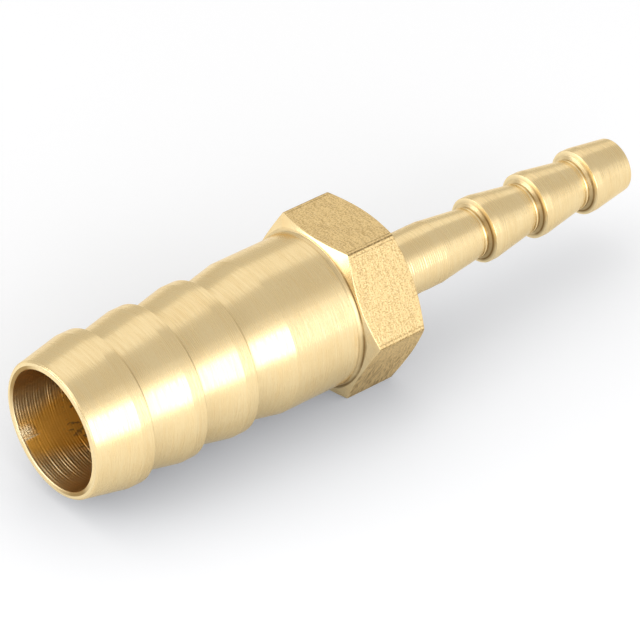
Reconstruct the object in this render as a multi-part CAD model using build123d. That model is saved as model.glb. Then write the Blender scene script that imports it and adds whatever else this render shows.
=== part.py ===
from build123d import *
import math
import os

# Hose barb reducer turned from one brass hexagon bar.
# +X runs along the fitting from the large mouth to the small tip, +Z is up.
# The origin is the centre of the hexagon's lower flat, which is what the fitting lies on.
# All sizes are in millimetres.

# Hexagon, left full size from the bar
HEX_ACROSS_FLATS = 17.0
HEX_WIDTH = 7.0
HEX_CORNER_ROUND = 0.3
HEX_CHAMFER_ANGLE = 25.0
HEX_STEP = 0.55
HEX_FACE_RING = 0.3
HEX_FACE_FILLET = 0.25

# Large barbed end, for a 16 mm (5/8 in) hose
LARGE_LENGTH = 31.3
LARGE_BARB_D = HEX_ACROSS_FLATS - 2 * HEX_STEP
LARGE_BARB_DEPTH = 0.9
LARGE_TEETH = 3
LARGE_FIRST_TOOTH = 6.1
LARGE_PITCH = 6.2
LARGE_LAND = 1.3

# Small barbed end, for a 6 mm (1/4 in) hose
SMALL_BARB_D = 6.95
SMALL_BARB_DEPTH = 0.85
SMALL_SHANK_STEP = 0.175
SMALL_SHANK = 8.2
SMALL_FIRST_LAND = 14.4
SMALL_TEETH = 3
SMALL_PITCH = 6.86
SMALL_LAND = 0.9
SMALL_TIP_CONE = 4.4
SMALL_TIP_DEPTH = 0.575

# What the turning tool leaves: the steep back of every barb, the narrow floor at its foot,
# and the broken edges of the two open ends
BARB_BACK = 0.33
ROOT_FLOOR = 0.15
EDGE_BREAK = 0.2

# Stepped bore, drilled from the large end and then through
LARGE_WALL = 1.75
LARGE_BORE_INTO_HEX = 0.3
SMALL_BORE_D = 4.0
DRILL_POINT_ANGLE = 118.0
BORE_EDGE_BREAK = 0.15

# Places that follow from the sizes
AXIS_Z = HEX_ACROSS_FLATS / 2
HEX_NEAR_X = -HEX_WIDTH / 2
HEX_FAR_X = HEX_WIDTH / 2
MOUTH_X = HEX_NEAR_X - LARGE_LENGTH
LARGE_BARB_R = LARGE_BARB_D / 2
SMALL_BARB_R = SMALL_BARB_D / 2
SMALL_SHANK_R = SMALL_BARB_R - SMALL_SHANK_STEP
SMALL_LAST_LAND_X = HEX_FAR_X + SMALL_FIRST_LAND + (SMALL_TEETH - 1) * SMALL_PITCH
TIP_X = SMALL_LAST_LAND_X + SMALL_LAND + SMALL_TIP_CONE


def turned(points):
    """Solid of revolution about the X axis from its half section, given as (x, radius) corners."""
    section = make_face(Polyline(*points, close=True))
    return revolve(section, Axis.X)


def large_end():
    """Large barbed end: cones that rise away from the mouth, each with a short land and a steep back."""
    root_r = LARGE_BARB_R - LARGE_BARB_DEPTH
    cone = LARGE_PITCH - LARGE_LAND - BARB_BACK - ROOT_FLOOR
    inside_hex_x = HEX_NEAR_X + HEX_WIDTH / 4
    points = [(MOUTH_X, 0), (MOUTH_X, root_r - EDGE_BREAK), (MOUTH_X + EDGE_BREAK, root_r)]
    for tooth in range(LARGE_TEETH):
        land_end_x = MOUTH_X + LARGE_FIRST_TOOTH + tooth * LARGE_PITCH
        back_foot_x = land_end_x + BARB_BACK
        cone_start_x = back_foot_x + ROOT_FLOOR
        points.append((land_end_x - LARGE_LAND, LARGE_BARB_R))
        points.append((land_end_x, LARGE_BARB_R))
        points.append((back_foot_x, root_r))
        points.append((cone_start_x, root_r))
    points.append((cone_start_x + cone, LARGE_BARB_R))
    points.append((inside_hex_x, LARGE_BARB_R))
    points.append((inside_hex_x, 0))
    return turned(points)


def small_end():
    """Small barbed end: a plain shank, then the same barbs turned the other way, down to the tip."""
    root_r = SMALL_BARB_R - SMALL_BARB_DEPTH
    tip_r = SMALL_BARB_R - SMALL_TIP_DEPTH
    tip_break = EDGE_BREAK / 2
    inside_hex_x = HEX_FAR_X - HEX_WIDTH / 4
    points = [(inside_hex_x, 0), (inside_hex_x, SMALL_SHANK_R)]
    points.append((HEX_FAR_X + SMALL_SHANK, SMALL_SHANK_R))
    for tooth in range(SMALL_TEETH):
        land_start_x = HEX_FAR_X + SMALL_FIRST_LAND + tooth * SMALL_PITCH
        back_foot_x = land_start_x - BARB_BACK
        points.append((back_foot_x - ROOT_FLOOR, root_r))
        points.append((back_foot_x, root_r))
        points.append((land_start_x, SMALL_BARB_R))
        points.append((land_start_x + SMALL_LAND, SMALL_BARB_R))
    points.append((TIP_X - tip_break, tip_r))
    points.append((TIP_X, tip_r - tip_break))
    points.append((TIP_X, 0))
    return turned(points)


def hexagon():
    """Hexagon with flats up and down, rounded corners and a cone turned over both faces."""
    side_view = RegularPolygon(HEX_ACROSS_FLATS / 2, 6, major_radius=False)
    side_view = fillet(side_view.vertices(), HEX_CORNER_ROUND)
    near_plane = Plane(origin=(HEX_NEAR_X, 0, 0), x_dir=(0, 1, 0), z_dir=(1, 0, 0))
    bar = extrude(near_plane * side_view, HEX_WIDTH)
    corner_r = HEX_ACROSS_FLATS / math.sqrt(3)
    face_r = LARGE_BARB_R + HEX_FACE_RING
    setback = (corner_r - face_r) * math.tan(math.radians(HEX_CHAMFER_ANGLE))
    cones = turned([
        (HEX_NEAR_X, 0),
        (HEX_NEAR_X, face_r),
        (HEX_NEAR_X + setback, corner_r),
        (HEX_FAR_X - setback, corner_r),
        (HEX_FAR_X, face_r),
        (HEX_FAR_X, 0),
    ])
    return bar & cones


def face_fillets(solid):
    """Small radius where each round shank meets the hexagon's face."""
    wanted = ((HEX_NEAR_X, LARGE_BARB_R), (HEX_FAR_X, SMALL_SHANK_R))
    chosen = []
    for edge in solid.edges().filter_by(GeomType.CIRCLE):
        for x, r in wanted:
            if abs(edge.arc_center.X - x) < 0.01 and abs(edge.radius - r) < 0.01:
                chosen.append(edge)
    return fillet(chosen, HEX_FACE_FILLET)


def stepped_bore():
    """What the drills take out: the wide bore with its drill point, then the narrow one through."""
    wide_r = LARGE_BARB_R - LARGE_WALL
    narrow_r = SMALL_BORE_D / 2
    wide_end_x = HEX_NEAR_X + LARGE_BORE_INTO_HEX
    point = (wide_r - narrow_r) / math.tan(math.radians(DRILL_POINT_ANGLE / 2))
    return turned([
        (MOUTH_X, 0),
        (MOUTH_X, wide_r + BORE_EDGE_BREAK),
        (MOUTH_X + BORE_EDGE_BREAK, wide_r),
        (wide_end_x, wide_r),
        (wide_end_x + point, narrow_r),
        (TIP_X - BORE_EDGE_BREAK, narrow_r),
        (TIP_X, narrow_r + BORE_EDGE_BREAK),
        (TIP_X, 0),
    ])


def reducer_body():
    """The whole fitting, its axis raised so that the lower flat lies on Z = 0."""
    solid = hexagon() + large_end() + small_end()
    solid = face_fillets(solid) - stepped_bore()
    return Pos(0, 0, AXIS_Z) * solid


os.makedirs("parts", exist_ok=True)
export_step(reducer_body(), "parts/reducer_body.step")
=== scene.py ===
import math

import bpy
import numpy as np
from mathutils import Matrix, Vector


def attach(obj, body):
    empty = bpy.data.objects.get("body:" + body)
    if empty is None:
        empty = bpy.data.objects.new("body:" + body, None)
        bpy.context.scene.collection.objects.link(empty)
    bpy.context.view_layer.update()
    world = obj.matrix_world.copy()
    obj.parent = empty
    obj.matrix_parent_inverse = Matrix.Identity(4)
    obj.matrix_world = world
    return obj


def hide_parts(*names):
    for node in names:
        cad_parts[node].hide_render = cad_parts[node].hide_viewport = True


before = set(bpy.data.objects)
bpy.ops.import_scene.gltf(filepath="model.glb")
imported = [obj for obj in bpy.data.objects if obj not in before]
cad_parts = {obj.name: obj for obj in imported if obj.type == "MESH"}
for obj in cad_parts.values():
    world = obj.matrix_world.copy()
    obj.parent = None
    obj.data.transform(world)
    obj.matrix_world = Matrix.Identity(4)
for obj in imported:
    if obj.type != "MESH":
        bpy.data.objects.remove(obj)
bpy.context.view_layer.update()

# ---------------------------------------------------------------------------
# Large barbed end, for a 16 mm hose. Turned from brass hexagon bar with a pointed tool:
# three cones that rise away from the mouth, each with a short land and a steep back, and a
# fourth that runs into a plain shank. Rubbed down with fine cloth, so it is satin bright.
# ---------------------------------------------------------------------------
MM = 0.001
MOUTH_X = -34.8
HEX_NEAR_X = -3.5
LARGE_LAND_R = 7.95
LARGE_ROOT_R = 7.05
LARGE_FIRST_TOOTH = 6.1
LARGE_PITCH = 6.2
LARGE_LAND = 1.3
BARB_FOOT = 0.405
LARGE_STEP = 1.3
MOUTH_BREAK = 0.2
MOUTH_RING = 0.25
FACE_FILLET = 0.25
FOOT_LENGTH = 0.6
AXIS_Z = 8.5
DEGREE = math.pi / 180.0
MOST_OF_SIDE = 0.3
HOLD_OUT = 1.6
RUBBED_EDGE = [0.0, 0.5, 0.8, 1.0, 0.8, 0.5, 0.0]
TURNED_BRASS = (0.96, 0.765, 0.43, 1.0)
RUBBED_BRASS = (0.87, 0.645, 0.32, 1.0)
FACED_BRASS = (0.92, 0.745, 0.43, 1.0)
TURNED_EDGE_ON = (0.98, 0.92, 0.78, 1.0)
# Brown of the painted shade in the inner corners.
ROOT_SHADE_BROWN = (0.25, 0.155, 0.055, 1.0)


def outline(corners, breaks, inner):
    """Rows down a turned outline: x, radius, and rubbing above 0 or painted shade below 0.

    Each corner gives way to a parabola that leaves one side and joins the other at the
    same distance from the corner, which is its break, never over 0.3 of a side. A holding
    row stands outside each end of it, at 1.6 breaks. The third number rises to 1 on an outer
    corner, where it is rubbed, and in an inner one it goes below 0, for painted shade in the
    corner, by the seven values given for all corners or for each.
    """
    p = np.asarray(corners, float)
    side = np.diff(p, axis=0)
    length = np.hypot(side[:, 0], side[:, 1])
    way = side / length[:, None]
    room = MOST_OF_SIDE * np.minimum(length[:-1], length[1:])
    cut = np.minimum(np.broadcast_to(breaks, room.shape), room)[:, None]
    before = p[1:-1] - cut * way[:-1]
    after = p[1:-1] + cut * way[1:]
    t = np.array([0.0, 0.25, 0.5, 0.75, 1.0])[None, :, None]
    leave, join = before[:, None], after[:, None]
    bend = (1 - t) ** 2 * leave + 2 * t * (1 - t) * p[1:-1, None] + t ** 2 * join
    held_before = p[1:-1] - HOLD_OUT * cut * way[:-1]
    held_after = p[1:-1] + HOLD_OUT * cut * way[1:]
    turn = way[:-1, 1] * way[1:, 0] - way[:-1, 0] * way[1:, 1]
    wear_and_shade = np.where(turn[:, None] > 0, np.array(RUBBED_EDGE), np.asarray(inner))
    places = np.concatenate([held_before[:, None], bend, held_after[:, None]], axis=1)
    rows = np.concatenate([places, wear_and_shade[:, :, None]], axis=2).reshape(-1, 3)
    start = np.array([[p[0, 0], p[0, 1], 0.0]])
    end = np.array([[p[-1, 0], p[-1, 1], 0.0]])
    return np.concatenate([start, rows, end])


def filled(rows, longest):
    """The same rows with even steps put in wherever two are further apart than longest."""
    gap = np.hypot(np.diff(rows[:, 0]), np.diff(rows[:, 1]))
    steps = np.maximum(np.ceil(gap / longest).astype(int), 1)
    start = np.repeat(np.arange(len(steps)), steps)
    first = np.repeat(np.cumsum(steps) - steps, steps)
    share = ((np.arange(steps.sum()) - first) / np.repeat(steps, steps))[:, None]
    between = rows[start] * (1 - share) + rows[start + 1] * share
    return np.concatenate([between, rows[-1:]])


def large_corners():
    """Corners of the large end from the mouth face to the fillet at the hexagon."""
    tooth = LARGE_FIRST_TOOTH + LARGE_PITCH * np.arange(3)[:, None] + MOUTH_X
    along = tooth + np.array([-LARGE_LAND, 0.0, BARB_FOOT])
    radius = np.broadcast_to([LARGE_LAND_R, LARGE_LAND_R, LARGE_ROOT_R], (3, 3))
    teeth = np.stack([along, radius], axis=2).reshape(-1, 2)
    cone_end = teeth[-1, 0] + LARGE_PITCH - LARGE_LAND - BARB_FOOT
    mouth = [
        (MOUTH_X, LARGE_ROOT_R - MOUTH_BREAK - MOUTH_RING),
        (MOUTH_X, LARGE_ROOT_R - MOUTH_BREAK),
        (MOUTH_X + MOUTH_BREAK, LARGE_ROOT_R),
    ]
    shank = [(cone_end, LARGE_LAND_R), (HEX_NEAR_X - FOOT_LENGTH, LARGE_LAND_R)]
    return np.concatenate([mouth, teeth, shank])


class Wire:
    """A value on its way through a finish. Wraps one socket; + - * / add Math nodes."""

    def __init__(self, finish, socket):
        self.finish = finish
        self.socket = socket

    def math(self, operation, first, second):
        """One Math node on two numbers or wires."""
        return self.finish.node("ShaderNodeMath", {"operation": operation}, {0: first, 1: second})

    def __add__(self, other):
        return self.math("ADD", self, other)

    def __radd__(self, other):
        return self.math("ADD", other, self)

    def __sub__(self, other):
        return self.math("SUBTRACT", self, other)

    def __rsub__(self, other):
        return self.math("SUBTRACT", other, self)

    def __mul__(self, other):
        return self.math("MULTIPLY", self, other)

    def __rmul__(self, other):
        return self.math("MULTIPLY", other, self)

    def __truediv__(self, other):
        return self.math("DIVIDE", self, other)

    def __rtruediv__(self, other):
        return self.math("DIVIDE", other, self)


class Finish:
    """A surface finish: one material and the nodes that make it."""

    def __init__(self, name):
        self.material = bpy.data.materials.new(name)
        self.material.use_nodes = True
        self.tree = self.material.node_tree
        self.tree.nodes.clear()

    def node(self, kind, settings, inputs, output=0):
        """Adds a node: its settings first, then its sockets, as values or wires."""
        made = self.tree.nodes.new(kind)
        for key, value in settings.items():
            setattr(made, key, value)
        for key, value in inputs.items():
            if isinstance(value, Wire):
                self.tree.links.new(value.socket, made.inputs[key])
            else:
                made.inputs[key].default_value = value
        return Wire(self, made.outputs[output])

    def place(self):
        """Object coordinates, as three wires in metres."""
        here = self.node("ShaderNodeTexCoord", {}, {}, "Object")
        return [self.node("ShaderNodeSeparateXYZ", {}, {0: here}, axis) for axis in range(3)]

    def turn(self, y, z):
        """Degrees round the axis from the top, less than 0 in front and more behind."""
        settings = {"operation": "ARCTAN2"}
        return self.node("ShaderNodeMath", settings, {0: y, 1: z - AXIS_Z * MM}) / DEGREE

    def carried(self, name):
        """A number that the piece's own mesh carries at each point."""
        settings = {"attribute_type": "GEOMETRY", "attribute_name": name}
        return self.node("ShaderNodeAttribute", settings, {}, "Fac")

    def mottle(self, across, detail, shift):
        """Noise from 0 to 1 whose grains are the given sizes along the three wires.

        Each wire is divided by its size in metres. The shift moves the pattern along, so
        that no two patterns of a finish are alike.
        """
        scaled = [wire / size + shift for wire, size in across]
        where = self.node("ShaderNodeCombineXYZ", {}, dict(enumerate(scaled)))
        inputs = {"Vector": where, "Scale": 1.0, "Detail": detail, "Roughness": 0.55}
        return self.node("ShaderNodeTexNoise", {"noise_dimensions": "3D"}, inputs)

    def ramp(self, value, low, high):
        """0 below low, 1 above high, and a straight line between."""
        settings = {"clamp": True}
        inputs = {"Value": value, "From Min": low, "From Max": high}
        return self.node("ShaderNodeMapRange", settings, inputs)

    def blend(self, share, first, second):
        """A colour between two others."""
        settings = {"data_type": "RGBA", "blend_type": "MIX"}
        return self.node("ShaderNodeMix", settings, {0: share, 6: first, 7: second}, 2)

    def bump(self, height):
        """A normal bent by a height in metres."""
        inputs = {"Strength": 1.0, "Distance": 1.0, "Height": height}
        return self.node("ShaderNodeBump", {}, inputs)

    def metal(self, colour, edge_on, roughness, normal):
        """Bare metal on the surface. Edge_on tints it where it is seen at a low angle."""
        inputs = {"Base Color": colour, "Metallic": 1.0, "Roughness": roughness, "Normal": normal}
        inputs["Specular Tint"] = edge_on
        shader = self.node("ShaderNodeBsdfPrincipled", {}, inputs)
        self.node_output(shader)

    def node_output(self, shader):
        """Puts a shader on the surface."""
        made = self.tree.nodes.new("ShaderNodeOutputMaterial")
        self.tree.links.new(shader.socket, made.inputs["Surface"])


def turned_brass():
    """Bright turned brass: rings that come and go, rubbed edges, matt faces, painted shade in
    corners.

    The painted shade in the corners is heaviest on the near side, by the angle round the axis.
    """
    finish = Finish("turned_brass")
    x, y, z = finish.place()
    along = finish.carried("along")
    wear_and_shade = finish.carried("wear_and_shade")
    hair = finish.mottle([(along, 0.00009), (y, 0.0022), (z, 0.0022)], 2.0, 3.1)
    ring = finish.mottle([(along, 0.00022), (y, 0.005), (z, 0.005)], 2.0, 7.7)
    band = finish.mottle([(along, 0.0009), (y, 0.012), (z, 0.012)], 1.0, 1.3)
    cloud = finish.mottle([(x, 0.004), (y, 0.003), (z, 0.003)], 2.0, 5.9)
    height = hair * 0.0000140 + ring * 0.0000130 + band * 0.0000100
    streak = finish.ramp(hair, 0.36, 0.64)
    hoop = finish.ramp(ring, 0.36, 0.64)
    shade = 0.40 * streak + 0.25 * hoop + finish.ramp(cloud, 0.3, 0.7) * 0.35
    colour = finish.blend(shade, TURNED_BRASS, RUBBED_BRASS)
    faced = finish.carried("faced")
    # Painted shade: brown in the inner corners, heaviest on the near side.
    near = finish.ramp(0.0 - finish.turn(y, z), 10.0, 40.0)
    root = finish.ramp(0.0 - wear_and_shade, 0.1, 1.0) * (0.35 + 0.65 * near)
    colour = finish.blend(faced, colour, FACED_BRASS)
    colour = finish.blend(root * finish.ramp(cloud, 0.1, 0.5), colour, ROOT_SHADE_BROWN)
    edge = finish.ramp(wear_and_shade, 0.0, 1.0)
    roughness = 0.13 + 0.06 * cloud + 0.11 * streak + 0.06 * hoop - 0.07 * edge
    roughness = roughness + 0.12 * faced + 0.20 * root
    finish.metal(colour, TURNED_EDGE_ON, roughness, finish.bump(height))
    return finish.material


large_breaks = [0.035, 0.035] + [0.035, 0.035, 0.14] * 3 + [0.035]
# Below 0, painted shade in each inner corner of the large end.
large_roots = [-0.3, -0.6, -0.8, -0.8, -0.7, -0.6, -0.2]
large_rows = filled(outline(large_corners(), large_breaks, large_roots), LARGE_STEP)

# ---------------------------------------------------------------------------
# Hexagon, 17 mm across its flats: the drawn bar itself, left full size for a spanner.
# Its flats keep the bar's fine grain, its six corners are slightly round, and a cone is
# turned over both faces, which leaves the curved creases at the ends of the flats.
# ---------------------------------------------------------------------------
HEX_FAR_X = 3.5
HEX_APOTHEM = 8.5
HEX_CORNER_ROUND = 0.3
HEX_FACE_R = 8.25
HEX_CHAMFER = math.tan(math.radians(25.0))
FLAT_HALF_TURN = 28.5
FLAT_ANGLES = 17
CORNER_ANGLES = 7
FACE_RING = 0.1
FACE_RINGS = 10
CREASE_DEPTH = 0.012
SMALL_SHANK_R = 3.3
FLAT_BRASS = (0.86, 0.63, 0.30, 1.0)
FLAT_GLINT = (0.95, 0.73, 0.39, 1.0)
FLAT_SPECK = (0.44, 0.28, 0.10, 1.0)
FLAT_EDGE_ON = (0.95, 0.86, 0.68, 1.0)
# Brown of the painted shade at and beside the hexagon's corners.
CORNER_SHADE_BROWN = (0.26, 0.16, 0.06, 1.0)


def hexagon_outline():
    """Angles round the axis and the hexagon's distance from it at each.

    On a flat the distance is the apothem over the cosine of the angle from its middle. A
    corner is an arc, at even turns, about a centre on the corner's own line.
    """
    flat = np.linspace(-FLAT_HALF_TURN, FLAT_HALF_TURN, FLAT_ANGLES)
    flat_r = HEX_APOTHEM / np.cos(np.radians(flat))
    centre = (HEX_APOTHEM - HEX_CORNER_ROUND) / math.cos(math.radians(30.0))
    turn = np.radians(np.linspace(-30.0, 30.0, CORNER_ANGLES))
    out = centre + HEX_CORNER_ROUND * np.cos(turn)
    aside = HEX_CORNER_ROUND * np.sin(turn)
    corner = 30.0 + np.degrees(np.arctan2(aside, out))
    angles = np.concatenate([flat, corner])[None, :] + 60.0 * np.arange(6)[:, None]
    radii = np.tile(np.concatenate([flat_r, np.hypot(out, aside)]), 6)
    return np.radians(angles.ravel()), radii


def hexagon_rows():
    """Rows over the hexagon: x, radius, rubbing or painted shade, share of the outline, lean and
    inset.

    A row's radius goes from its round value to the hexagon's outline by its share. Its x
    leans inwards with the height of that outline, so that the chamfers are true cones. The
    near fillet is a quarter of an ellipse, longer than it is high, and the far one round.
    The crease at each end of a flat is set in a little. Below 0 the third number is painted
    shade: in lines down both fillets, and where a face rises from its foot.
    """
    turn = np.radians(np.linspace(0.0, 90.0, 7))
    near_x = HEX_NEAR_X - FOOT_LENGTH + FOOT_LENGTH * np.sin(turn)
    near_r = LARGE_LAND_R + FACE_FILLET * (1 - np.cos(turn))
    far_x = HEX_FAR_X + FACE_FILLET - FACE_FILLET * np.cos(turn)
    far_r = SMALL_SHANK_R + FACE_FILLET * (1 - np.sin(turn))
    face_end = SMALL_SHANK_R + FACE_FILLET
    face_r = np.linspace(HEX_FACE_R - FACE_RING, face_end, FACE_RINGS)[:-1]
    chamfer = np.array([0.0, 0.03, 0.11, 0.2, 0.5, 0.8, 0.96])
    flat = np.array([0.0, 0.006, 0.02, 0.12, 0.3, 0.5, 0.7, 0.88, 0.98, 0.994, 1.0])
    # Painted shade down both fillets and at the foot of each chamfer.
    fillet_shade = np.array([0.0, -0.5, -0.3, -0.4, -0.6, -0.9, -0.9])
    foot_line = np.array([-0.9, -0.8, -0.6, 0.0, 0.0, 0.0, 0.0])
    fillet_near = np.stack([near_x, near_r, fillet_shade] + [0 * turn] * 3, axis=1)
    rising = np.stack([
        0 * chamfer + HEX_NEAR_X, 0 * chamfer + HEX_FACE_R, foot_line,
        chamfer, chamfer, 0 * chamfer,
    ], axis=1)
    crease = np.isin(flat, [0.0, 1.0])
    across = np.stack([
        HEX_NEAR_X + (HEX_FAR_X - HEX_NEAR_X) * flat, 0 * flat + HEX_FACE_R, 1.0 * crease,
        0 * flat + 1.0, 1 - 2 * flat, CREASE_DEPTH * crease,
    ], axis=1)
    falling = rising[::-1] * np.array([0, 1, 1, 1, -1, 1]) + np.array([HEX_FAR_X, 0, 0, 0, 0, 0])
    face = np.stack([0 * face_r + HEX_FAR_X, face_r] + [0 * face_r] * 4, axis=1)
    fillet_far = np.stack([far_x, far_r, fillet_shade] + [0 * turn] * 3, axis=1)
    sides = [fillet_near, rising, across, falling, face, fillet_far]
    counts = [len(part) for part in sides]
    return np.concatenate(sides), counts


def flat_brass():
    """The bar's own flats: dark and bright grain, wavy lines across, painted shade by the corners.

    The distance from the nearest corner is in degrees round the axis, 30 less the fold of
    the angle over 30. The wavy lines are strongest on the lower flats.
    """
    finish = Finish("flat_brass")
    x, y, z = finish.place()
    grain = finish.mottle([(x, 0.00019), (y, 0.00013), (z, 0.00013)], 2.0, 8.1)
    coarse = finish.mottle([(x, 0.00032), (y, 0.00021), (z, 0.00021)], 2.0, 2.3)
    waved = finish.mottle([(x, 0.0016), (y, 0.0012), (z, 0.0012)], 0.0, 5.1)
    lines = finish.mottle([(x + 0.0006 * waved, 0.00019), (y, 0.0013), (z, 0.0013)], 1.0, 6.2)
    cloud = finish.mottle([(x, 0.0025), (y, 0.0025), (z, 0.0025)], 2.0, 4.4)
    settings = {"operation": "PINGPONG"}
    fold = finish.node("ShaderNodeMath", settings, {0: finish.turn(y, z), 1: 30.0})
    apart = 30.0 - fold
    beside = finish.ramp(apart, 1.5, 2.1) * (1 - finish.ramp(apart, 2.1, 2.7))
    at_corner = 1 - finish.ramp(apart, 0.2, 0.8)
    # Painted shade: brown lines at and beside each corner.
    line = (at_corner + 0.8 * beside) * finish.ramp(coarse + 0.5 * grain, 0.55, 0.80)
    wear_and_shade = finish.ramp(finish.carried("wear_and_shade"), 0.0, 1.0)
    below = 1 - finish.ramp(z, 0.004, 0.007)
    speck = finish.ramp(0.75 * grain + 0.25 * lines, 0.47, 0.59) * (1 - wear_and_shade)
    streak = finish.ramp(lines, 0.48, 0.58) * (0.15 + 0.75 * below)
    glint = finish.ramp(0.5 * coarse + 0.5 * lines, 0.49, 0.62)
    height = grain * 0.0000220 + coarse * 0.0000220 + lines * (0.0000140 + 0.0000300 * below)
    colour = finish.blend(0.7 * glint, FLAT_BRASS, FLAT_GLINT)
    colour = finish.blend(0.60 * speck, colour, FLAT_SPECK)
    colour = finish.blend(streak, colour, FLAT_SPECK)
    colour = finish.blend(0.85 * line, colour, CORNER_SHADE_BROWN)
    roughness = 0.25 + 0.08 * cloud + 0.08 * speck - 0.10 * wear_and_shade
    finish.metal(colour, FLAT_EDGE_ON, roughness, finish.bump(height))
    return finish.material


hex_rows, hex_counts = hexagon_rows()

# ---------------------------------------------------------------------------
# Small barbed end, for a 6 mm hose: the other end of the same bar, with a plain shank and
# three barbs that face the other way. Fed faster than the large end, so the shank and the
# lands keep even feed marks, and a round-nosed tool left the foot of each back hollow.
# ---------------------------------------------------------------------------
SMALL_LAND_R = 3.475
SMALL_ROOT_R = 2.625
SMALL_SHANK = 8.2
SMALL_FIRST_LAND = 14.4
SMALL_PITCH = 6.86
SMALL_LAND = 0.9
SMALL_STEP = 1.0
HOLLOW_X = 0.15
HOLLOW_R = 2.97
LIP_FOOT = 0.36
LIP_TOP = 0.22
LIP_RISE = 0.045
LIP_SLOPE = 0.12
TIP_X = 36.92
TIP_R = 2.9
TIP_BREAK = 0.1
TIP_RING = 0.35
SHANK_MARKS = (3.9, 12.9)
SHANK_FEED = 0.27
SHANK_DEPTH = 0.031
LAND_MARKS = (0.09, 1.9)
LAND_FEED = 0.19
LAND_DEPTH = 0.011
FEED_UNEVEN = 0.10
FADING_TURNS = 4.5
LEVEL_SHARE = 0.33
CLEAR_OF_MARKS = 0.02


def small_corners():
    """Corners of the small end from the fillet at the hexagon to the face of the tip.

    Before each root stands a low lip, where the tool changed its way.
    """
    land = HEX_FAR_X + SMALL_FIRST_LAND + SMALL_PITCH * np.arange(3)[:, None]
    foot = -BARB_FOOT - LIP_FOOT
    along = land + np.array([foot, -BARB_FOOT - LIP_TOP, -BARB_FOOT, -HOLLOW_X, 0.0, SMALL_LAND])
    lip = SMALL_ROOT_R + LIP_SLOPE * LIP_FOOT
    profile = [lip, lip + LIP_RISE, SMALL_ROOT_R, HOLLOW_R, SMALL_LAND_R, SMALL_LAND_R]
    radius = np.broadcast_to(profile, (3, 6))
    teeth = np.stack([along, radius], axis=2).reshape(-1, 2)
    start = HEX_FAR_X + FACE_FILLET
    shank = [(start, SMALL_SHANK_R), (HEX_FAR_X + SMALL_SHANK, SMALL_SHANK_R)]
    tip = [(TIP_X - TIP_BREAK, TIP_R), (TIP_X, TIP_R - TIP_BREAK), (TIP_X, TIP_R - TIP_RING)]
    return np.concatenate([shank, teeth, tip])


def feed_marks(rows, start, end, feed, depth, spread, seed, steps):
    """Rows between two places along x that carry the marks of the tool.

    Each turn of the work leaves a shallow hollow, a parabola across the feed in the given
    number of steps, and a crest on each side of it. It is set so low that the hollows take
    about as much off as the crests put on. Feed and depth vary from turn to turn, the depth
    by the spread, and the last four turns fade out.
    """
    vary = np.random.default_rng(seed)
    turns = int(round((end - start) / feed))
    width = 1 + FEED_UNEVEN * vary.standard_normal(turns)
    crest_x = start + (end - start) * np.concatenate([[0], np.cumsum(width) / width.sum()])
    crest = depth * vary.uniform(1 - spread, 1 + spread, turns + 1)
    crest = crest * np.minimum((turns + 0.5 - np.arange(turns + 1)) / FADING_TURNS, 1.0)
    place = np.arange(steps * turns + 1) / steps
    share = place % 1.0
    x = np.interp(place, np.arange(turns + 1), crest_x)
    across = (2 * share - 1) ** 2 - LEVEL_SHARE
    lift = np.interp(place, np.arange(turns + 1), crest) * across
    radius = np.interp(x, rows[:, 0], rows[:, 1])
    wear_and_shade = np.interp(x, rows[:, 0], rows[:, 2])
    marked = np.stack([x, radius, wear_and_shade, lift], axis=1)
    left = rows[rows[:, 0] < start - CLEAR_OF_MARKS]
    right = rows[rows[:, 0] > end + CLEAR_OF_MARKS]
    return np.concatenate([left, marked, right])


def uneven(angle, place):
    """How deep a mark is round the axis: 1 and three slow waves that drift along x."""
    swing = 0.14 * np.sin(2 * angle + 2.1 * place) + 0.12 * np.sin(3 * angle - 3.7 * place)
    return 1.0 + swing + 0.14 * np.sin(7 * angle + 5.3 * place)


def unmarked(rows):
    """The same rows with a column of no marks."""
    return np.concatenate([rows, np.zeros((len(rows), 1))], axis=1)


small_breaks = [0.05] + [0.05, 0.05, 0.13, 0.10, 0.05, 0.05] * 3 + [0.05, 0.05]
# Painted shade at each root and down each back of the small end.
root_line = [0.0, -0.1, -0.6, -1.0, -1.0, -0.8, -0.7]
back_line = [-0.7, -0.7, -0.8, -1.0, -1.0, -1.0, -0.7]
clean = np.zeros(7)
small_roots = [clean] + [clean, clean, root_line, back_line, clean, clean] * 3 + [clean, clean]
small_outline = outline(small_corners(), small_breaks, small_roots)
small_rows = unmarked(filled(small_outline, SMALL_STEP))
small_rows = feed_marks(
    small_rows, SHANK_MARKS[0], SHANK_MARKS[1], SHANK_FEED, SHANK_DEPTH,
    spread=0.25, seed=11, steps=3,
)
for number in range(3):
    land_x = HEX_FAR_X + SMALL_FIRST_LAND + SMALL_PITCH * number
    small_rows = feed_marks(
        small_rows, land_x + LAND_MARKS[0], land_x + LAND_MARKS[1], LAND_FEED, LAND_DEPTH,
        spread=0.3, seed=20 + number, steps=3,
    )

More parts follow.
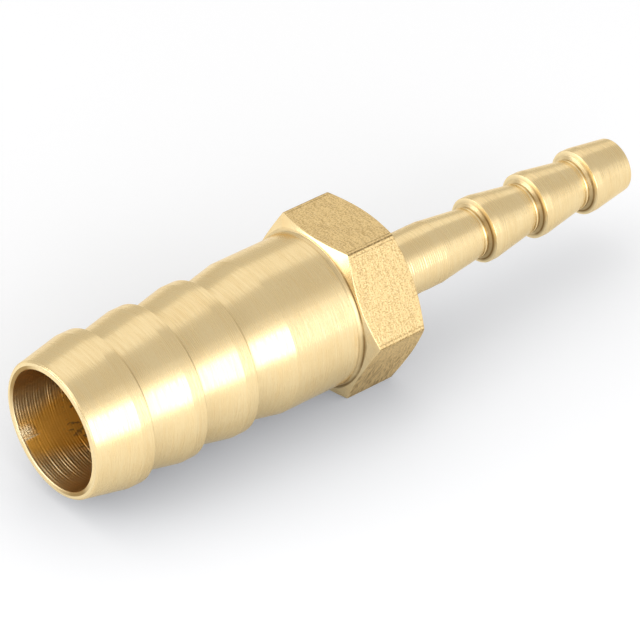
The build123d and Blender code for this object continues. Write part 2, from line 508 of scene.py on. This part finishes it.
# ---------------------------------------------------------------------------
# Stepped bore, as the drills left it: a wide one from the large mouth to the hexagon, the
# cone of its point, and a narrow one through to the tip. The wide drill chattered a little,
# so its wall has coarse uneven marks, and both ends have a small broken edge.
# ---------------------------------------------------------------------------
WIDE_R = 6.2
NARROW_R = 2.0
WIDE_END_X = -3.2
DRILL_POINT = math.radians(59.0)
POINT_X = WIDE_END_X + (WIDE_R - NARROW_R) / math.tan(DRILL_POINT)
BORE_BREAK = 0.08
BORE_ROUND = 0.04
NARROW_STEP = 3.5
WIDE_STEP = 2.5
TIP_RING_INNER = 0.4
MOUTH_RING_INNER = 0.28
CONE_JOIN = 1.0
WALL_JOIN = 1.5
BORE_MARKS = (0.32, 9.92)
BORE_FEED = 0.30
BORE_DEPTH = 0.030
JUST_INSIDE = MOUTH_X + 0.001
LOW_MARKS = 194.0
CHATTER_MARKS = 237.0
FAR_MARKS = 260.0
# Middle of the smooth zone with the painted amber reflection, in degrees round the axis.
BORE_SMOOTH = 230.0
BORE_BRASS = (1.00, 0.82, 0.49, 1.0)
BORE_DULL = (0.96, 0.76, 0.43, 1.0)
# Dark brown of the painted shade to the sides of the bore, and of its dark spots.
BORE_SHADE_AND_SPOT_DARK = (0.36, 0.22, 0.08, 1.0)
# Colour of the painted amber reflection deep in the bore.
BORE_AMBER_REFLECTION = (1.00, 0.575, 0.11, 1.0)
BORE_BRIGHT = (1.00, 0.85, 0.56, 1.0)
BORE_EDGE_ON = (0.92, 0.79, 0.54, 1.0)

# The outside's outline ends on each face at a ring, and the bore's begins just inside it. The
# narrow one ends on the wide wall, just past the drill's cone, where the wide one begins.
narrow_rows = filled(outline([
    (TIP_X, TIP_R - TIP_RING_INNER),
    (TIP_X, NARROW_R + BORE_BREAK),
    (TIP_X - BORE_BREAK, NARROW_R),
    (POINT_X, NARROW_R),
    (WIDE_END_X, WIDE_R),
    (WIDE_END_X - CONE_JOIN, WIDE_R),
], BORE_ROUND, clean), NARROW_STEP)
wide_rows = filled(outline([
    (MOUTH_X, LARGE_ROOT_R - MOUTH_BREAK - MOUTH_RING_INNER),
    (MOUTH_X, WIDE_R + BORE_BREAK),
    (MOUTH_X + BORE_BREAK, WIDE_R),
    (WIDE_END_X - WALL_JOIN, WIDE_R),
], BORE_ROUND, clean), WIDE_STEP)
wide_face = unmarked(wide_rows[wide_rows[:, 0] < JUST_INSIDE])
wide_wall = unmarked(wide_rows[wide_rows[:, 0] >= JUST_INSIDE])
wide_wall = feed_marks(
    wide_wall, MOUTH_X + BORE_MARKS[0], MOUTH_X + BORE_MARKS[1], BORE_FEED, BORE_DEPTH,
    spread=0.8, seed=5, steps=4,
)
wide_rows = np.concatenate([wide_face, wide_wall])[::-1]


def bell(angle, middle, width):
    """1 at the middle and almost nothing beyond twice the width, both in degrees."""
    return np.exp(-((np.degrees(angle) % 360.0 - middle) / width) ** 2)


def chatter(angle, place):
    """Where the drill chattered: one low patch on the far wall, gone 2.1 mm from the mouth."""
    fade = np.clip((place - MOUTH_X - 1.0) / 1.1, 0.0, 1.0)
    return bell(angle, CHATTER_MARKS, 6.0) * (1 - fade)


def bore_marks(angle, place):
    """How deep the wide drill's marks are round the axis.

    Deep at the bottom, fainter on the far wall and almost none elsewhere, but for the
    chatter between the two, whose depth also jumps round the axis.
    """
    marks = 0.15 + 2.4 * bell(angle, LOW_MARKS, 16.0) + 1.4 * bell(angle, FAR_MARKS, 12.0)
    jumps = 1.0 + 0.5 * np.sin(48.0 * angle + 9.0 * place)
    return marks * uneven(angle, place) + 2.0 * chatter(angle, place) * jumps


def bored_brass():
    """The drilled wall: coarse uneven rings, a painted amber reflection where it is smooth and
    painted dark brown shade to both sides.

    The painted amber, the colour of light reflected over and over in the bore, is a wedge
    round one direction, by the cosine of the angle from it, and it spreads with the distance
    from the mouth. The painted brown shade comes nearer to it from above than from below.
    Dark spots lie in the amber's deep part, and beside the rough bright patch at the mouth
    there is one scratch along the bore.
    """
    finish = Finish("bored_brass")
    x, y, z = finish.place()
    along = finish.carried("along")
    hair = finish.mottle([(along, 0.0001), (y, 0.003), (z, 0.003)], 2.0, 6.5)
    ring = finish.mottle([(along, 0.0003), (y, 0.004), (z, 0.004)], 2.0, 1.9)
    cloud = finish.mottle([(x, 0.003), (y, 0.002), (z, 0.002)], 2.0, 9.2)
    side = math.sin(math.radians(BORE_SMOOTH))
    down = math.cos(math.radians(BORE_SMOOTH))
    toward = ((z - AXIS_Z * MM) * down - y * side) / (WIDE_R * MM)
    beside = 0.0 - ((z - AXIS_Z * MM) * side + y * down) / (WIDE_R * MM)
    inward = (x - MOUTH_X * MM) / MM
    # Painted reflection: amber, as light reflected over and over deep in the bore.
    amber = finish.ramp(toward + 0.012 * inward + 0.05 * cloud, 0.91, 1.02)
    amber = amber * finish.ramp(inward, 0.15, 0.4)
    bright = finish.ramp(finish.carried("wear_and_shade") + 0.5 * cloud, 0.4, 1.2)
    scratch = finish.ramp(beside, -0.010, 0.012) * (1 - finish.ramp(beside, 0.012, 0.034))
    scratch = scratch * (1 - finish.ramp(inward, 1.2, 2.2))
    crumb = finish.mottle([(x, 0.00028), (y, 0.00016), (z, 0.00016)], 2.0, 3.8)
    spot = finish.mottle([(x, 0.0007), (y, 0.0004), (z, 0.0004)], 1.0, 7.3)
    spot = finish.ramp(spot, 0.58, 0.68) * finish.ramp(toward, 0.6, 0.8)
    spot = spot * finish.ramp(inward, 4.2, 5.4) * (1 - finish.ramp(inward, 7.5, 9.0))
    height = hair * 0.0000080 + ring * 0.0000120 * (1 - amber)
    height = height + crumb * 0.0002200 * bright + 0.0000300 * scratch
    colour = finish.blend(finish.ramp(cloud, 0.35, 0.7), BORE_BRASS, BORE_DULL)
    # Painted shade: dark brown to both sides of the amber, nearer from above.
    upper = finish.ramp(beside, 0.0, 1.0)
    sides = (1 - finish.ramp(toward - 0.4 * upper, 0.25, 0.75)) * finish.ramp(toward, -0.5, -0.1)
    colour = finish.blend(0.9 * sides, colour, BORE_SHADE_AND_SPOT_DARK)
    colour = finish.blend(amber, colour, BORE_AMBER_REFLECTION)
    colour = finish.blend(0.75 * spot, colour, BORE_SHADE_AND_SPOT_DARK)
    colour = finish.blend(finish.ramp(bright + scratch, 0.0, 1.0), colour, BORE_BRIGHT)
    roughness = 0.27 + 0.20 * cloud + 0.06 * hair + 0.14 * amber + 0.14 * bright
    finish.metal(colour, BORE_EDGE_ON, roughness, finish.bump(height))
    return finish.material


# ---------------------------------------------------------------------------
# The fitting in one piece. The outlines above are one closed line, out along the outside
# and back through the bore, and it is swept once round the axis, so the skin is closed.
# ---------------------------------------------------------------------------
TURNED, FLAT, BORED = 0, 1, 2
NICK_DEPTH = 0.022
NICK_LEVEL = 1.4
NICKED_WEAR = 0.9
FACED_FROM = 0.55
FACED_RISE = 0.15


def round_all_over(rows):
    """Turned rows with no share of the hexagon, no lean and no inset, before their marks."""
    return np.concatenate([rows[:, :3], np.zeros((len(rows), 3)), rows[:, 3:]], axis=1)


def nicked(angle, place):
    """How far an outer edge is knocked in, in mm: four waves, and only their peaks count."""
    waves = np.sin(11 * angle + 1.7 * place) + np.sin(17 * angle - 2.3 * place)
    waves = waves + np.sin(29 * angle + 0.9 * place) + np.sin(43 * angle - 1.1 * place)
    return NICK_DEPTH * np.clip(waves - NICK_LEVEL, 0.0, 1.5)


def fitting_skin():
    """Vertices, faces, finishes and the three carried numbers, as arrays over the grid.

    Height above the axis is radius times the cosine of the angle, and the width is radius
    times its sine, at each row of the closed line and each angle round it. Faced is how far
    the line stands across the axis there, 0 on shanks and cones, 1 on faces and backs.
    """
    turned_end = hex_counts[0] + hex_counts[1]
    flats_end = turned_end + hex_counts[2]
    smooth_hex = unmarked(hex_rows)
    parts = [
        (round_all_over(unmarked(large_rows[:-1])), TURNED),
        (smooth_hex[:turned_end], TURNED),
        (smooth_hex[turned_end:flats_end], FLAT),
        (smooth_hex[flats_end:], TURNED),
        (round_all_over(small_rows[1:]), TURNED),
        (round_all_over(unmarked(narrow_rows)), BORED),
        (round_all_over(wide_rows), BORED),
    ]
    rows = np.concatenate([part for part, kind in parts])
    kinds = np.concatenate([np.full(len(part), kind) for part, kind in parts])
    angle, hexagon = hexagon_outline()
    count = len(angle)
    x, radius, wear_and_shade, share, lean, inset, lift = [column[:, None] for column in rows.T]
    reach = radius + share * (hexagon[None, :] - radius) - inset
    bored = (kinds == BORED)[:, None]
    depth = np.where(bored, bore_marks(angle[None, :], x), uneven(angle[None, :], x))
    edge = (wear_and_shade > NICKED_WEAR) * (share == 0)
    reach = reach + lift * depth - nicked(angle[None, :], x) * edge
    place = x + lean * HEX_CHAMFER * (hexagon[None, :] - HEX_FACE_R)
    wide = -reach * np.sin(angle)[None, :]
    high = AXIS_Z + reach * np.cos(angle)[None, :]
    points = np.stack([place + 0 * wide, wide, high], axis=2).reshape(-1, 3) * MM
    step = np.hypot(np.diff(rows[:, 0]), np.diff(rows[:, 1]))
    along = np.repeat(np.concatenate([[0], np.cumsum(step)]) * MM, count)
    across = np.abs(np.roll(rows[:, 1], -1) - np.roll(rows[:, 1], 1))
    length = np.abs(np.roll(rows[:, 0], -1) - np.roll(rows[:, 0], 1)) + across + 0.00001
    faced = np.repeat(np.clip((across / length - FACED_FROM) / FACED_RISE, 0.0, 1.0), count)
    wear_and_shade_points = np.where(bored, np.maximum(wear_and_shade, chatter(angle[None, :], x)), wear_and_shade + 0 * wide).ravel()
    row = np.arange(len(rows))[:, None]
    column = np.arange(count)[None, :]
    next_row = (row + 1) % len(rows)
    next_column = (column + 1) % count
    quads = np.stack([
        row * count + column,
        row * count + next_column,
        next_row * count + next_column,
        next_row * count + column,
    ], axis=2).reshape(-1, 4)
    return points, quads, np.repeat(kinds, count), along, wear_and_shade_points, faced


points, quads, kinds, along, wear_and_shade_points, faced = fitting_skin()
mesh = bpy.data.meshes.new("reducer_body")
mesh.from_pydata(points.tolist(), [], quads.tolist())
for name, values in (("along", along), ("wear_and_shade", wear_and_shade_points), ("faced", faced)):
    carried = mesh.attributes.new(name, "FLOAT", "POINT")
    carried.data.foreach_set("value", values.astype(np.float32))
for material in (turned_brass(), flat_brass(), bored_brass()):
    mesh.materials.append(material)
mesh.polygons.foreach_set("material_index", kinds.astype(np.int32))
mesh.polygons.foreach_set("use_smooth", np.ones(len(quads), bool))
mesh.update()
fitting = bpy.data.objects.new("brass_reducer", mesh)
bpy.context.scene.collection.objects.link(fitting)
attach(fitting, "root")
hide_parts("reducer_body")

# ---------------------------------------------------------------------------
# Floor: a wide sheet of plain white board, matt, that the fitting lies on.
# ---------------------------------------------------------------------------
FLOOR_HALF = 6.0
FLOOR_WHITE = (0.88, 0.88, 0.878, 1.0)
FLOOR_LIFT = 0.15


def white_board():
    """Matt white board, with the last step to white added where it is seen or mirrored."""
    finish = Finish("white_board")
    matt = finish.node("ShaderNodeBsdfDiffuse", {}, {"Color": FLOOR_WHITE})
    seen = finish.node("ShaderNodeLightPath", {}, {}, "Is Camera Ray")
    mirrored = finish.node("ShaderNodeLightPath", {}, {}, "Is Glossy Ray")
    through = finish.node("ShaderNodeLightPath", {}, {}, "Is Transmission Ray")
    lift = (seen + mirrored + through) * FLOOR_LIFT
    glow = finish.node("ShaderNodeEmission", {}, {"Strength": lift})
    finish.node_output(finish.node("ShaderNodeAddShader", {}, {0: matt, 1: glow}))
    return finish.material


corner = FLOOR_HALF * np.array([[-1, -1, 0], [1, -1, 0], [1, 1, 0], [-1, 1, 0]], float)
floor_mesh = bpy.data.meshes.new("floor")
floor_mesh.from_pydata(corner.tolist(), [], [(0, 1, 2, 3)])
floor_mesh.materials.append(white_board())
floor = bpy.data.objects.new("floor", floor_mesh)
bpy.context.scene.collection.objects.link(floor)

# ---------------------------------------------------------------------------
# Light: a pale room, three soft panels low in front, one behind the other, so that their
# light fades upwards, a broad weak one above and behind, and two to the left of the mouth.
# ---------------------------------------------------------------------------
ROOM_LEVEL = 0.66
ROOM_TINT = (1.01, 1.0, 0.985, 1.0)
PANEL_WATTS = math.pi
COOL = (0.97, 1.0, 1.08)
WHITE = (0.99, 1.0, 1.03)


def soft_panel(name, middle, aim, width, height, level, tint):
    """A flat panel of light, turned to face a point, at a brightness where 1 is white.

    Its watts are that brightness times its area times pi.
    """
    lamp = bpy.data.lights.new(name, "AREA")
    lamp.shape = "RECTANGLE"
    lamp.color = tint
    lamp.size = width
    lamp.size_y = height
    lamp.energy = level * width * height * PANEL_WATTS
    panel = bpy.data.objects.new(name, lamp)
    bpy.context.scene.collection.objects.link(panel)
    panel.location = middle
    toward = (Vector(aim) - Vector(middle)).normalized()
    panel.rotation_euler = toward.to_track_quat("-Z", "Y").to_euler()
    panel.visible_camera = False


soft_panel("front_core", (-0.215, -0.300, 0.103), (-0.215, 0.0, 0.103), 0.66, 0.205, 1.70, COOL)
soft_panel("front_middle", (-0.08, -0.304, 0.150), (-0.08, 0.0, 0.150), 1.10, 0.30, 0.33, COOL)
soft_panel("front_top", (-0.05, -0.308, 0.230), (-0.05, 0.0, 0.230), 1.10, 0.46, 0.18, COOL)
soft_panel("back_panel", (0.30, 0.51, 0.80), (0.50, 0.01, 0.0), 3.0, 0.66, 0.35, WHITE)
soft_panel("left_panel", (-0.48, 0.24, 0.13), (0.0, 0.0, 0.03), 0.40, 0.28, 2.6, WHITE)
soft_panel("mouth_panel", (-0.48, -0.04, 0.37), (0.0, 0.0, 0.01), 0.40, 0.26, 0.50, WHITE)

world = bpy.data.worlds.new("room")
bpy.context.scene.world = world
world.use_nodes = True
background = world.node_tree.nodes["Background"]
background.inputs["Color"].default_value = ROOM_TINT
background.inputs["Strength"].default_value = ROOM_LEVEL

# ---------------------------------------------------------------------------
# Camera: a long lens that looks down on the large mouth from the front and to the left.
# ---------------------------------------------------------------------------
FRAME_WIDTH = 640
FOCAL_PIXELS = 3882.0
MOUTH_PIXEL_X = 51.38
MOUTH_PIXEL_Y = 431.33
MOUTH_DISTANCE = 0.36206
SWING = math.radians(39.748)
DIP = math.radians(35.113)
SENSOR_WIDTH = 36.0

right = Vector((math.cos(SWING), -math.sin(SWING), 0.0))
forward = Vector((
    math.cos(DIP) * math.sin(SWING),
    math.cos(DIP) * math.cos(SWING),
    -math.sin(DIP),
))
up = right.cross(forward)
mouth = Vector((MOUTH_X, 0.0, AXIS_Z)) * MM
aside = (MOUTH_PIXEL_X - FRAME_WIDTH / 2) / FOCAL_PIXELS
below = (MOUTH_PIXEL_Y - FRAME_WIDTH / 2) / FOCAL_PIXELS
eye = mouth - MOUTH_DISTANCE * (aside * right - below * up + forward)

lens = bpy.data.cameras.new("camera")
lens.sensor_width = SENSOR_WIDTH
lens.lens = lens.sensor_width * FOCAL_PIXELS / FRAME_WIDTH
camera = bpy.data.objects.new("camera", lens)
bpy.context.scene.collection.objects.link(camera)
camera.matrix_world = Matrix.Translation(eye) @ Matrix((right, up, -forward)).transposed().to_4x4()
bpy.context.scene.camera = camera
bpy.context.scene.view_settings.view_transform = "Standard"
bpy.context.scene.cycles.caustics_reflective = False
